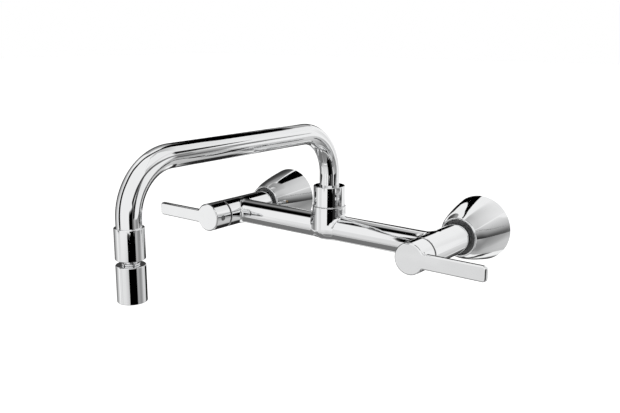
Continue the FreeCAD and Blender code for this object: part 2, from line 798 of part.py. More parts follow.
pieces = all_pieces()
doc.recompute()

for item in doc.Objects:
    if "Invalid" in item.State or "Error" in item.State:
        raise RuntimeError(f"{item.Name} failed: {item.State}")

os.makedirs("parts", exist_ok=True)
for body in pieces:
    shape = body.Shape
    if shape.isNull() or not shape.isValid() or shape.Volume <= 0:
        raise RuntimeError(f"{body.Label} has no sound shape")
    shape.exportStep(f"parts/{body.Label}.step")
    print(f"{body.Label}: {len(shape.Solids)} solid, {shape.Volume / 1000:.2f} cm3")
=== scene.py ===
"""The looks of a wall-mounted kitchen mixer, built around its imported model.

All lengths in the making are millimetres in the frame of the model: X along the crossbar, Y into
the wall, Z up, with the wall inlets at x = -100 and x = 100 on the plane y = 0.
"""

import json
import math

import bpy
import numpy as np
from mathutils import Matrix, Vector


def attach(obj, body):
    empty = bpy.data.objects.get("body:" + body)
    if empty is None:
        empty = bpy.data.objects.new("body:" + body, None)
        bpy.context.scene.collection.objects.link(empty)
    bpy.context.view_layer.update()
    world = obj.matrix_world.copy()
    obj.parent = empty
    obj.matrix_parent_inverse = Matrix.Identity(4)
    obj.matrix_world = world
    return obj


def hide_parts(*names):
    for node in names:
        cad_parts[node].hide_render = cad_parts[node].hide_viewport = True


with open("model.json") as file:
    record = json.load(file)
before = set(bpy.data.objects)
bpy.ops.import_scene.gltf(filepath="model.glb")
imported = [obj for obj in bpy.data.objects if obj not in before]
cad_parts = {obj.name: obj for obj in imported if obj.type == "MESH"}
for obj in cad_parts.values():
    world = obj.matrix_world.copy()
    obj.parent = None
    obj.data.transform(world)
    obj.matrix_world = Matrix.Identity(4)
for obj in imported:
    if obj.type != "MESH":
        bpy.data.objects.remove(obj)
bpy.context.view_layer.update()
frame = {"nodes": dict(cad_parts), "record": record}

MM = 0.001
INLET = 100.0
BAR_DEPTH = 74.5
REACH = 206.6
TURN = 2.0 * math.pi
AROUND = 128
ARC_STEPS = 6

# Making meshes


class Skin:
    """Vertices, faces and one normal for each corner of each face."""

    def __init__(self):
        self.verts = []
        self.faces = []
        self.normals = []

    def add(self, points):
        start = len(self.verts)
        self.verts.extend([tuple(map(float, p)) for p in points])
        return list(range(start, start + len(points)))

    def face(self, corners, normals):
        kept = []
        for corner, normal in zip(corners, normals):
            if not kept or kept[-1][0] != corner:
                kept.append((corner, normal))
        if len(kept) > 1 and kept[0][0] == kept[-1][0]:
            kept.pop()
        if len(kept) > 2:
            self.faces.append([c for c, _ in kept])
            self.normals.append([n for _, n in kept])

    def band(self, low, high, low_normals, high_normals):
        """The faces between two closed rings of corners."""
        for i in range(len(low)):
            j = (i + 1) % len(low)
            self.face(
                [low[i], low[j], high[j], high[i]],
                [low_normals[i], low_normals[j], high_normals[j], high_normals[i]],
            )


def piece(name, skin, body, slot, replaced=(), move=Matrix.Identity(4)):
    """Makes the object of a skin drawn in millimetres and puts it on its body."""
    mesh = bpy.data.meshes.new(name)
    mesh.from_pydata(skin.verts, [], skin.faces)
    mesh.polygons.foreach_set("use_smooth", [True] * len(mesh.polygons))
    whole = Matrix.Scale(MM, 4) @ move
    mesh.transform(whole)
    turned = whole.to_3x3()
    turned.normalize()
    mesh.normals_split_custom_set(
        [turned @ Vector(n).normalized() for face in skin.normals for n in face]
    )
    mesh.update()
    obj = bpy.data.objects.new(name, mesh)
    bpy.context.scene.collection.objects.link(obj)
    obj.data.materials.append(MATERIALS[slot])
    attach(obj, body)
    if replaced:
        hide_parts(*replaced)
    return obj


def even_angles(around):
    return [TURN * k / around for k in range(around)]


def circle(angles, r, z):
    """The points, or the normals, of a circle about Z."""
    return [(r * math.cos(t), r * math.sin(t), z) for t in angles]


def rounded(points):
    """A line of (r, z, rounding) points as pieces, each with a start, an end and two normals.

    The normals lie to the right of the way along the line.
    """
    count = len(points)
    ends = []
    for i, (r, z, radius) in enumerate(points):
        here = Vector((r, z))
        if radius <= 0 or i in (0, count - 1):
            ends.append((here, here, None))
            continue
        before = (Vector(points[i - 1][:2]) - here).normalized()
        after = (Vector(points[i + 1][:2]) - here).normalized()
        half = before.angle(after) / 2.0
        back = radius / math.tan(half)
        centre = here + (before + after).normalized() * (radius / math.sin(half))
        ends.append((here + before * back, here + after * back, centre))
    parts = []
    for i in range(count):
        start, end, centre = ends[i]
        if centre is not None:
            a = start - centre
            b = end - centre
            sweep = math.atan2(a.x * b.y - a.y * b.x, a.dot(b))
            sign = 1.0 if sweep > 0 else -1.0
            spots = []
            for k in range(ARC_STEPS + 1):
                turn = sweep * k / ARC_STEPS
                out = Vector((
                    a.x * math.cos(turn) - a.y * math.sin(turn),
                    a.x * math.sin(turn) + a.y * math.cos(turn),
                ))
                spots.append((centre + out, out.normalized() * sign))
            for one, two in zip(spots, spots[1:]):
                parts.append((one[0], two[0], one[1], two[1]))
        if i + 1 < count:
            nxt = ends[i + 1][0]
            if (nxt - end).length > 1e-6:
                along = (nxt - end).normalized()
                normal = Vector((along.y, -along.x))
                parts.append((end, nxt, normal, normal))
    return parts


def lathe(points):
    """A closed line of (r, z, rounding) points turned about Z; normals to the right of the line."""
    skin = Skin()
    angles = even_angles(AROUND)
    rings = {}

    def ring(spot):
        key = (round(spot.x, 4), round(spot.y, 4))
        if key not in rings:
            if spot.x < 1e-4:
                rings[key] = skin.add([(0.0, 0.0, spot.y)]) * AROUND
            else:
                rings[key] = skin.add(circle(angles, *spot))
        return rings[key]

    for start, end, n0, n1 in rounded(list(points) + [points[0]]):
        skin.band(ring(start), ring(end), circle(angles, *n0), circle(angles, *n1))
    return skin


def pierce(skin, radius, angle, height, hole, depth):
    """Cut a round hole in the wall of an upright cylinder of a skin, and line it."""
    facing = Vector((math.cos(angle), math.sin(angle), 0.0))
    rim = {}

    def place(corner):
        x, y, z = skin.verts[corner]
        turn = (math.atan2(y, x) - angle + math.pi) % TURN - math.pi
        return turn * radius, z

    def outward(u):
        a = angle + u / radius
        return Vector((math.cos(a), math.sin(a), 0.0))

    def rim_point(u, sign):
        rise = math.sqrt(max(0.0, hole * hole - u * u))
        key = (round(u, 4), round(height + sign * rise, 4))
        if key not in rim:
            rim[key] = skin.add([outward(u) * radius + Vector((0.0, 0.0, height + sign * rise))])[0]
        return rim[key]

    def add(corners):
        skin.face(corners, [outward(place(c)[0]) for c in corners])

    kept = []
    cut = []
    for corners, normals in zip(skin.faces, skin.normals):
        spots = [place(c) for c in corners]
        on_wall = all(abs(math.hypot(*skin.verts[c][:2]) - radius) < 0.01 for c in corners)
        first = min(u for u, _ in spots)
        last = max(u for u, _ in spots)
        across = first < hole and last > -hole and last - first < radius
        tall = min(z for _, z in spots) < height - hole and max(z for _, z in spots) > height + hole
        if len(corners) == 4 and on_wall and across and tall:
            cut.append(sorted(corners, key=lambda c: (round(place(c)[0], 4), place(c)[1])))
        else:
            kept.append((corners, normals))
    skin.faces = [corners for corners, _ in kept]
    skin.normals = [normals for _, normals in kept]
    for low_left, high_left, low_right, high_right in cut:
        left = place(low_left)[0]
        right = place(low_right)[0]
        start = max(left, -hole)
        end = min(right, hole)
        steps = [start + (end - start) * k / 4 for k in range(5)]
        top = [rim_point(u, 1) for u in steps]
        bottom = [rim_point(u, -1) for u in steps]
        if left < -hole:
            add([low_left, low_right] + bottom[::-1] + top[1:] + [high_right, high_left])
        elif right > hole:
            add([low_left, low_right, high_right, high_left] + top + bottom[::-1][1:])
        else:
            add([low_left, low_right] + bottom[::-1])
            add([high_right, high_left] + top)
    loop = sorted(rim.values(), key=lambda c: math.atan2(place(c)[1] - height, place(c)[0]))
    inner = skin.add([Vector(skin.verts[c]) - facing * depth for c in loop])
    inward = []
    for c in loop:
        u, z = place(c)
        side_way = Vector((-facing.y, facing.x, 0.0)) * -u + Vector((0.0, 0.0, height - z))
        inward.append(side_way.normalized())
    skin.band(loop, inner, inward, inward)


def at(x, y, z):
    return Matrix.Translation((x, y, z))


# Local Z of a valve piece runs out of the wall, along -Y of the model.
OUT_OF_WALL = Matrix.Rotation(math.pi / 2.0, 4, "X")


def side(x_side):
    return at(x_side * INLET, 0, 0) @ OUT_OF_WALL


# Materials


def new_material(name):
    material = bpy.data.materials.new(name)
    material.use_nodes = True
    nodes = material.node_tree.nodes
    links = material.node_tree.links
    return material, nodes, links, nodes["Principled BSDF"]


def noise(nodes, links, scale):
    place = nodes.new("ShaderNodeTexCoord")
    texture = nodes.new("ShaderNodeTexNoise")
    texture.inputs["Scale"].default_value = scale
    texture.inputs["Detail"].default_value = 3.0
    links.new(place.outputs["Object"], texture.inputs["Vector"])
    return texture.outputs["Fac"]


def spread(nodes, links, value, low, high):
    ramp = nodes.new("ShaderNodeMapRange")
    ramp.inputs["From Min"].default_value = 0.35
    ramp.inputs["From Max"].default_value = 0.65
    ramp.inputs["To Min"].default_value = low
    ramp.inputs["To Max"].default_value = high
    links.new(value, ramp.inputs["Value"])
    return ramp.outputs["Result"]


def tint(nodes, links, value, dark, light):
    ramp = nodes.new("ShaderNodeValToRGB")
    ramp.color_ramp.elements[0].position = 0.3
    ramp.color_ramp.elements[1].position = 0.7
    ramp.color_ramp.elements[0].color = (*dark, 1.0)
    ramp.color_ramp.elements[1].color = (*light, 1.0)
    links.new(value, ramp.inputs["Fac"])
    return ramp.outputs["Color"]


def surface(name, dark, light, rough, metallic, scale, bump):
    """A material with a clouded colour, an uneven roughness and a fine relief."""
    material, nodes, links, shader = new_material(name)
    shader.inputs["Metallic"].default_value = metallic
    cloud = noise(nodes, links, scale)
    links.new(tint(nodes, links, cloud, dark, light), shader.inputs["Base Color"])
    fine = noise(nodes, links, scale * 7.0)
    links.new(spread(nodes, links, fine, *rough), shader.inputs["Roughness"])
    if bump:
        node = nodes.new("ShaderNodeBump")
        node.inputs["Strength"].default_value = bump
        node.inputs["Distance"].default_value = 0.0001
        links.new(fine, node.inputs["Height"])
        links.new(node.outputs["Normal"], shader.inputs["Normal"])
    return material


LOOKS = {
    "chrome": ((0.825, 0.83, 0.835), (0.845, 0.85, 0.855), (0.028, 0.055), 1.0, 60.0, 0.0),
    "brass": ((0.66, 0.45, 0.19), (0.78, 0.56, 0.27), (0.22, 0.36), 1.0, 150.0, 0.25),
    "steel": ((0.50, 0.50, 0.51), (0.60, 0.60, 0.61), (0.20, 0.34), 1.0, 200.0, 0.2),
    "rubber": ((0.012, 0.012, 0.012), (0.024, 0.024, 0.025), (0.55, 0.75), 0.0, 300.0, 0.4),
    "pale_rubber": ((0.26, 0.26, 0.26), (0.32, 0.32, 0.32), (0.5, 0.65), 0.0, 300.0, 0.3),
    "ceramic": ((0.80, 0.79, 0.76), (0.87, 0.86, 0.83), (0.12, 0.2), 0.0, 90.0, 0.0),
    "black_plastic": ((0.008, 0.008, 0.009), (0.016, 0.016, 0.017), (0.3, 0.45), 0.0, 250.0, 0.2),
    "white_plastic": ((0.74, 0.74, 0.73), (0.82, 0.82, 0.81), (0.35, 0.5), 0.0, 200.0, 0.2),
    "grey_plastic": ((0.10, 0.10, 0.105), (0.135, 0.135, 0.14), (0.3, 0.42), 0.0, 260.0, 0.2),
}
MATERIALS = {name: surface(name, *look) for name, look in LOOKS.items()}

slots = {row["node"]: row["material_slot"] for row in frame["record"]["subparts"]}
for cad_name, cad_object in frame["nodes"].items():
    slot_name = slots[cad_name]
    cad_object.data.materials.clear()
    cad_object.data.materials.append(MATERIALS["pale_rubber" if "grip" in cad_name else slot_name])

# Casting with its soft inside corners

BARREL_R = 11.95
BARREL_BACK = 27.0
BARREL_FRONT = 97.0
BAR_R = 10.45
BOSS_R = 13.7
BOSS_LOW = -9.9
BOSS_ROUND = 9.6
SEAM = 17.95
SEAT_R = 9.6
WATERWAY_R = 6.5
SPIGOT_R = 10.0
SPIGOT_TOP = 9.8
SPIGOT_BORE = 6.2
INSIDE_ROUND = 2.0


def distance(p):
    """Signed distance of points to the casting without its ends."""
    x = p[..., 0]
    y = p[..., 1] + BAR_DEPTH
    z = p[..., 2]
    bar = np.sqrt(y * y + z * z) - BAR_R
    bar = np.maximum(bar, np.abs(x) - INLET)
    barrel = np.sqrt((np.abs(x) - INLET) ** 2 + z * z) - BARREL_R
    core = BOSS_R - BOSS_ROUND
    across = np.sqrt(x * x + y * y) - core
    down = (BOSS_LOW + BOSS_ROUND) - z
    outside = np.sqrt(np.maximum(across, 0.0) ** 2 + np.maximum(down, 0.0) ** 2)
    boss = outside + np.minimum(np.maximum(across, down), 0.0) - BOSS_ROUND
    return meet(meet(bar, barrel), boss)


def meet(a, b):
    """The union of two distances with a rounded inside corner."""
    u = np.maximum(INSIDE_ROUND - a, 0.0)
    v = np.maximum(INSIDE_ROUND - b, 0.0)
    return np.maximum(INSIDE_ROUND, np.minimum(a, b)) - np.sqrt(u * u + v * v)


def slope(p):
    step = 0.01
    out = np.empty_like(p)
    for axis in range(3):
        off = np.zeros(3)
        off[axis] = step
        out[..., axis] = (distance(p + off) - distance(p - off)) / (2.0 * step)
    return out


def surface_net(low, high, counts):
    """Quads on the zero surface of distance() inside a box, with their points put onto it."""
    axes = [np.linspace(low[i], high[i], counts[i] + 1) for i in range(3)]
    grid = np.stack(np.meshgrid(*axes, indexing="ij"), axis=-1)
    value = distance(grid)
    inside = value < 0
    total = np.zeros(counts, int)
    for dx in (0, 1):
        for dy in (0, 1):
            for dz in (0, 1):
                total += inside[
                    dx:counts[0] + dx, dy:counts[1] + dy, dz:counts[2] + dz
                ]
    active = (total > 0) & (total < 8)
    number = np.full(counts, -1)
    number[active] = np.arange(active.sum())
    cells = np.argwhere(active)
    size = np.array([axes[i][1] - axes[i][0] for i in range(3)])
    points = np.array(low) + (cells + 0.5) * size
    for _ in range(8):
        gradient = slope(points)
        square = np.maximum((gradient ** 2).sum(1), 1e-6)
        points -= (distance(points) / square)[:, None] * gradient
    quads = []
    for axis in range(3):
        one = (axis + 1) % 3
        two = (axis + 2) % 3
        first = [slice(None)] * 3
        second = [slice(None)] * 3
        first[axis] = slice(0, -1)
        second[axis] = slice(1, None)
        a = inside[tuple(first)]
        b = inside[tuple(second)]
        edges = np.argwhere(a != b)
        keep = (edges[:, one] > 0) & (edges[:, one] < counts[one])
        keep &= (edges[:, two] > 0) & (edges[:, two] < counts[two])
        edges = edges[keep]
        leaving = a[tuple(edges.T)]
        around = []
        for d1, d2 in ((1, 1), (0, 1), (0, 0), (1, 0)):
            cell = edges.copy()
            cell[:, one] -= d1
            cell[:, two] -= d2
            around.append(number[tuple(cell.T)])
        four = np.stack(around, axis=1)
        four[~leaving] = four[~leaving][:, ::-1]
        quads.append(four)
    return points, np.concatenate(quads), cells


def make_casting():
    low = (-113.0, -BARREL_FRONT + 0.4, -13.0)
    high = (113.0, -BARREL_BACK - 0.5, SEAM - 0.35)
    counts = (226, 70, 31)
    points, quads, cells = surface_net(low, high, counts)
    used = np.unique(quads)
    front = used[cells[used][:, 1] == 0]
    back = used[cells[used][:, 1] == counts[1] - 1]
    top = used[cells[used][:, 2] == counts[2] - 1]
    for group, axis, place in ((front, 1, low[1]), (back, 1, high[1]), (top, 2, high[2])):
        points[group, axis] = place
        for _ in range(4):
            gradient = slope(points[group])
            gradient[:, axis] = 0.0
            square = np.maximum((gradient ** 2).sum(1), 1e-6)
            points[group] -= (distance(points[group]) / square)[:, None] * gradient
    normals = slope(points)
    skin = Skin()
    fresh = {}
    for old in used:
        fresh[old] = len(skin.verts)
        skin.verts.append(tuple(points[old]))
    for quad in quads:
        skin.face([fresh[q] for q in quad], [normals[q] for q in quad])

    def close(group, centre, out_axis, out_sign, profile):
        """Carries on from an open rim with rings of (radius, distance out, rounding)."""
        centre = Vector(centre)
        wide, high = [a for a in range(3) if a != out_axis]

        def angle_of(g):
            return math.atan2(points[g][high] - centre[high], points[g][wide] - centre[wide])

        spun = sorted(group, key=angle_of)
        angles = [angle_of(g) for g in spun]

        def direction(angle, across, out):
            d = [0.0, 0.0, 0.0]
            d[wide] = across * math.cos(angle)
            d[high] = across * math.sin(angle)
            d[out_axis] = out * out_sign
            return d

        rings = {}
        parts = rounded(profile)
        first = parts[0][0]
        rings[(round(first.x, 3), round(first.y, 3))] = [fresh[g] for g in spun]

        def ring(spot):
            key = (round(spot.x, 3), round(spot.y, 3))
            if key not in rings:
                rings[key] = skin.add(
                    [Vector(direction(t, spot.x, spot.y)) + centre for t in angles]
                )
            return rings[key]

        handed = out_sign * (1.0 if out_axis == 2 else -1.0)
        for start, end, n0, n1 in parts:
            one = ring(start)
            two = ring(end)
            one_n = [direction(t, n0.x, n0.y) for t in angles]
            two_n = [direction(t, n1.x, n1.y) for t in angles]
            way = slice(None) if handed > 0 else slice(None, None, -1)
            skin.band(one[way], two[way], one_n[way], two_n[way])

    middle = (BARREL_FRONT - BARREL_BACK) / 2.0
    for x_side in (-1, 1):
        for group, y, out_sign, lip, rounding, depth in (
            (front, low[1], -1, 0.4, 0.3, 20.0),
            (back, high[1], 1, 0.5, 0.4, 9.5),
        ):
            half = [g for g in group if points[g][0] * x_side > 0]
            close(half, (x_side * INLET, y, 0), 1, out_sign, [
                (BARREL_R, 0.0, 0), (BARREL_R, lip, rounding), (SEAT_R, lip, 0), (SEAT_R, -depth, 0),
                (WATERWAY_R, -depth, 0), (WATERWAY_R, -middle, 0),
            ])
    close(list(top), (0, -BAR_DEPTH, high[2]), 2, 1, [
        (BOSS_R, 0.0, 0), (BOSS_R, 0.35, 0.3), (SPIGOT_R, 0.35, 0), (SPIGOT_R, SPIGOT_TOP, 0.4),
        (SPIGOT_BORE, SPIGOT_TOP, 0), (SPIGOT_BORE, -16.0, 0), (0.0, -16.0, 0),
    ])
    return skin


piece("casting_skin", make_casting(), "mixer_body", "chrome", ["body_casting"])

# Wall flanges, black rings and nipples


def pair(name, skin, slot):
    """The same piece on both inlets; gives back the right one."""
    for x_side, label in ((-1, "left"), (1, "right")):
        one = piece(f"{label}_{name}_skin", skin, "mixer_body", slot, move=side(x_side))
    return one


def curve(points, fine):
    """More points on a smooth line through (r, z) points."""
    out = []
    spots = [Vector(p) for p in points]
    spots = [2 * spots[0] - spots[1]] + spots + [2 * spots[-1] - spots[-2]]
    for a, b, c, d in zip(spots, spots[1:], spots[2:], spots[3:]):
        for k in range(fine):
            t = k / fine
            out.append(
                0.5 * (2 * b + (c - a) * t + (2 * a - 5 * b + 4 * c - d) * t * t
                       + (3 * b - a - 3 * c + d) * t ** 3)
            )
    out.append(Vector(points[-1]))
    return out


FLANGE_LINE = [
    (26.7, 0.0), (25.15, 8.04), (23.4, 16.08), (21.35, 24.12), (18.85, 32.16), (15.95, 39.0),
]
FLANGE_LIP_R = 0.9


def make_flange():
    """The turned shell: outside curve, rounded front rim and stepped hollow."""
    skin = Skin()
    angles = even_angles(160)

    def place(spot):
        return skin.add(circle(angles, *spot))

    def spin(normal):
        return circle(angles, *normal)

    line = curve(FLANGE_LINE, 4)
    slopes = []
    for i, spot in enumerate(line):
        along = line[min(i + 1, len(line) - 1)] - line[max(i - 1, 0)]
        along.normalize()
        slopes.append(Vector((along.y, -along.x)))
    rings = [place(p) for p in line]
    for i in range(len(line) - 1):
        skin.band(rings[i], rings[i + 1], spin(slopes[i]), spin(slopes[i + 1]))
    lip = line[-1]
    inner = [
        (14.5, 39.6), (14.5, 30.5), (17.9, 30.0), (17.9, 16.0), (21.8, 16.0), (21.8, 0.0), (26.7, 0.0),
    ]
    arc = []
    start_angle = math.atan2(slopes[-1].y, slopes[-1].x)
    middle = lip - slopes[-1] * FLANGE_LIP_R
    end_angle = math.pi * 0.95
    for k in range(1, 10):
        a = start_angle + (end_angle - start_angle) * k / 9
        out = Vector((math.cos(a), math.sin(a)))
        arc.append((middle + out * FLANGE_LIP_R, out))
    last = rings[-1]
    last_n = slopes[-1]
    for spot, out in arc:
        nxt = place(spot)
        skin.band(last, nxt, spin(last_n), spin(out))
        last, last_n = nxt, out
    spots = [arc[-1][0]] + [Vector(p) for p in inner]
    for a, b in zip(spots, spots[1:]):
        along = (b - a).normalized()
        normal = Vector((along.y, -along.x))
        nxt = rings[0] if b is spots[-1] else place(b)
        skin.band(last, nxt, spin(normal), spin(normal))
        last = nxt
    return skin


one = pair("flange", make_flange(), "chrome")
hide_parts("wall_flanges")
# A black ring fills the gap between each handle hub and the casting and makes the thin dark line there.
one = pair("black_ring", lathe([
    (8.2, 97.02, 0), (11.8, 97.02, 0.1), (11.8, 98.6, 0.1), (8.2, 98.6, 0),
]), "black_plastic")
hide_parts("black_rings")


def make_nipple(length, back, radius, depth, pitch, root):
    """A threaded pipe: the wall end has a helical thread, the front end the union thread."""
    skin = Skin()
    around = 96
    per_turn = 8
    angles = even_angles(around)
    spots = []
    wave = [0.0, 0.25, 0.75, 1.0, 1.0, 0.75, 0.25, 0.0]
    rows = int((back - 1.0) / pitch * per_turn)
    rings = []
    normals = []
    for row in range(rows + 1):
        z = -back + row * pitch / per_turn
        ring = []
        for k, t in enumerate(angles):
            phase = (row / per_turn + k / around) % 1.0 * per_turn
            i = int(phase) % per_turn
            f = phase - int(phase)
            level = wave[i] * (1 - f) + wave[(i + 1) % per_turn] * f
            ease = min(1.0, row / per_turn, (rows - row) / per_turn)
            r = radius - depth * (1.0 - level * ease)
            ring.append((r * math.cos(t), r * math.sin(t), z))
        rings.append(skin.add(ring))
        spots.append(ring)
    for row in range(rows + 1):
        up = spots[min(row + 1, rows)]
        down = spots[max(row - 1, 0)]
        out = []
        for k, t in enumerate(angles):
            dz = up[k][2] - down[k][2]
            dr = math.hypot(*up[k][:2]) - math.hypot(*down[k][:2])
            n = Vector((dz, -dr)).normalized()
            out.append((n.x * math.cos(t), n.x * math.sin(t), n.y))
        normals.append(out)
    for row in range(rows):
        skin.band(rings[row], rings[row + 1], normals[row], normals[row + 1])
    root_r = radius - depth
    line = [
        (root_r, -back + rows * pitch / per_turn, 0), (root_r, 0.0, 0), (13.2, 0.0, 0.3),
        (13.2, length, 0.4), (root, length, 0), (root, -back, 0), (root_r, -back, 0),
    ]
    last = rings[-1]
    flat = rounded(line)
    for i, (start, end, n0, n1) in enumerate(flat):
        if i == len(flat) - 1:
            nxt = rings[0]
        else:
            nxt = skin.add(circle(angles, *end))
        skin.band(last, nxt, circle(angles, *n0), circle(angles, *n1))
        last = nxt
    return skin


one = pair("nipple", make_nipple(17.0, 14.0, 10.45, 0.9, 1.814, WATERWAY_R), "brass")
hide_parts("inlet_nipples")

# Handles

HUB_R = 11.95
HUB_L = 17.3
FACE = 115.98
LEVER_TIP = 58.9
LEVER_HALF = 5.7
LEVER_T = 4.0
TIP_R = 2.6
NECK_R = 1.0
EDGE_R = 1.2
EDGE_STEPS = 7
SOCKET_R = 4.1
PLUG_DEPTH = 108.3
PLUG_R = 2.4
PLUG_RECESS = 1.3


def handle_outline(inset):
    """Points, normals and kinds round the front view of a handle, its lever towards +X."""
    radius = HUB_R - inset
    half = LEVER_HALF - inset
    tip = LEVER_TIP - inset
    corner = TIP_R - inset
    neck = NECK_R + inset
    neck_y = half + neck
    neck_x = math.sqrt((radius + neck) ** 2 - neck_y ** 2)
    open_angle = math.atan2(neck_y, neck_x)
    spots = []
    arc_steps = 96
    for k in range(arc_steps + 1):
        a = open_angle + (TURN - 2 * open_angle) * k / arc_steps
        out = Vector((math.cos(a), math.sin(a)))
        spots.append((out * radius, out, "hub"))

    def corner_arc(centre, start, end, size, sign, steps, kind):
        for k in range(steps + 1):
            a = start + (end - start) * k / steps
            out = Vector((math.cos(a), math.sin(a)))
            spots.append((centre + out * size, out * sign, kind))

    corner_arc(Vector((neck_x, -neck_y)), math.pi - open_angle, math.pi / 2, neck, -1, 5, "lever")
    corner_arc(Vector((tip - corner, -half + corner)), -math.pi / 2, 0.0, corner, 1, 10, "lever")
    corner_arc(Vector((tip - corner, half - corner)), 0.0, math.pi / 2, corner, 1, 10, "lever")
    corner_arc(Vector((neck_x, neck_y)), -math.pi / 2, -math.pi + open_angle, neck, -1, 5, "lever")
    return spots


def make_handle():
    """Hub and lever as one skin; z runs from the wall, so the front face is the highest."""
    skin = Skin()

    def level(inset, z, only=None):
        spots = handle_outline(inset)
        base = handle_outline(0.0)
        use = [s if only is None or s[2] == only else b for s, b in zip(spots, base)]
        return skin.add([(p.x, p.y, z) for p, _, _ in use])

    flat = [n for _, n, _ in handle_outline(0.0)]

    def tilted(lift):
        return [(n.x * math.cos(lift), n.y * math.cos(lift), math.sin(lift)) for n in flat]

    rings = []
    for k in range(EDGE_STEPS + 1):
        a = math.pi / 2 * (1 - k / EDGE_STEPS)
        rings.append((level(EDGE_R * (1 - math.cos(a)), FACE - EDGE_R * (1 - math.sin(a))), tilted(a)))
    up = (0.0, 0.0, 1.0)
    face_ring = rings[0][0]
    skin.face(face_ring, [up] * len(face_ring))
    back = FACE - LEVER_T
    rings.append((level(0.0, back + EDGE_R), tilted(0.0)))
    for (one, n1), (two, n2) in zip(rings, rings[1:]):
        skin.band(two, one, n2, n1)
    kinds = [kind for _, _, kind in handle_outline(0.0)]
    hub_count = kinds.count("hub")
    last, last_n = rings[-1]
    for k in range(1, EDGE_STEPS + 1):
        a = math.pi / 2 * k / EDGE_STEPS
        now = level(EDGE_R * (1 - math.cos(a)), back + EDGE_R * (1 - math.sin(a)), "lever")
        now_n = [
            (n.x, n.y, 0.0) if kind == "hub" else (n.x * math.cos(a), n.y * math.cos(a), -math.sin(a))
            for n, kind in zip(flat, kinds)
        ]
        skin.band(now, last, now_n, last_n)
        last, last_n = now, now_n
    spots = handle_outline(0.0)
    first = spots[0][0]
    open_angle = math.atan2(first.y, first.x)
    gap_steps = 16
    gap = []
    for k in range(1, gap_steps):
        a = -open_angle + 2 * open_angle * k / gap_steps
        gap.append((HUB_R * math.cos(a), HUB_R * math.sin(a), back))
    gap = skin.add(gap)
    hub_part = last[:hub_count]
    lever_part = last[hub_count:]
    down = (0.0, 0.0, -1.0)
    under = [hub_part[-1]] + lever_part + [hub_part[0]] + gap[::-1]
    skin.face(under[::-1], [down] * len(under))
    loop = hub_part + gap
    unit = [(x / HUB_R, y / HUB_R) for x, y in (skin.verts[i][:2] for i in loop)]
    low = FACE - HUB_L
    profile = rounded([
        (HUB_R, back, 0), (HUB_R, low, 0.3), (9.0, low, 0), (9.0, low + 3.0, 0), (SOCKET_R, low + 3.0, 0),
        (SOCKET_R, FACE - 5.0, 0), (0.0, FACE - 5.0, 0),
    ])
    current = loop
    for start, end, n0, n1 in profile:
        if end.x < 1e-4:
            nxt = skin.add([(0.0, 0.0, end.y)]) * len(loop)
        else:
            nxt = skin.add([(x * end.x, y * end.x, end.y) for x, y in unit])
        one = [(-x * n0.x, -y * n0.x, -n0.y) for x, y in unit]
        two = [(-x * n1.x, -y * n1.x, -n1.y) for x, y in unit]
        skin.band(nxt, current, two, one)
        current = nxt
    pierce(skin, HUB_R, math.pi, PLUG_DEPTH, PLUG_R, PLUG_RECESS)
    return skin


handle = make_handle()
for x_side, label in ((-1, "left"), (1, "right")):
    move = side(x_side)
    if x_side < 0:
        move = move @ Matrix.Rotation(math.pi, 4, "Z")
    piece(f"{label}_handle_skin", handle, f"{label}_lever", "chrome", [f"{label}_handle"], move)

# Spout

TUBE_R = 8.0
TUBE_WALL = 1.0
TUBE_TOP = 80.0
TUBE_LOW = 32.2
TUBE_HOLE = 8.05
COLLAR_R = 12.97
COLLAR_TOP = 34.75
COLLAR_HOLLOW = 10.05
GRUB_Z = 22.7
GRUB_HOLE = 1.55
TUBE_REST = COLLAR_TOP - 4.0
REAR_BEND = 36.0
FRONT_BEND = 35.0


def spout_path():
    """Points along the middle of the tube with their directions, in the plane x = 0."""
    rear = -BAR_DEPTH
    end = -BAR_DEPTH - REACH
    spots = [((rear, TUBE_REST), (0.0, 1.0)), ((rear, TUBE_TOP - REAR_BEND), (0.0, 1.0))]
    steps = 40
    for k in range(1, steps + 1):
        a = math.pi / 2 * k / steps
        spots.append((
            (rear - REAR_BEND * (1 - math.cos(a)), TUBE_TOP - REAR_BEND * (1 - math.sin(a))),
            (-math.sin(a), math.cos(a)),
        ))
    spots.append(((end + FRONT_BEND, TUBE_TOP), (-1.0, 0.0)))
    for k in range(1, steps + 1):
        a = math.pi / 2 * k / steps
        spots.append((
            (end + FRONT_BEND * (1 - math.sin(a)), TUBE_TOP - FRONT_BEND * (1 - math.cos(a))),
            (-math.cos(a), -math.sin(a)),
        ))
    spots.append(((end, TUBE_LOW), (0.0, -1.0)))
    return spots


def make_tube():
    skin = Skin()
    around = 96
    angles = even_angles(around)
    outer = []
    inner = []
    for (y, z), (dy, dz) in spout_path():
        across = Vector((0.0, -dz, dy))
        rows = [Vector((1.0, 0.0, 0.0)) * math.cos(t) + across * math.sin(t) for t in angles]
        middle = Vector((0.0, y, z))
        outer.append((skin.add([middle + r * TUBE_R for r in rows]), rows))
        inner.append((skin.add([middle + r * (TUBE_R - TUBE_WALL) for r in rows]), [-r for r in rows]))
    for (one, n1), (two, n2) in zip(outer, outer[1:]):
        skin.band(one[::-1], two[::-1], n1[::-1], n2[::-1])
    for (one, n1), (two, n2) in zip(inner, inner[1:]):
        skin.band(one, two, n1, n2)
    down = [(0.0, 0.0, -1.0)] * around
    skin.band(outer[0][0], inner[0][0], down, down)
    skin.band(inner[-1][0], outer[-1][0], down, down)
    return skin


piece("tube_skin", make_tube(), "spout", "chrome", ["spout_tube"])

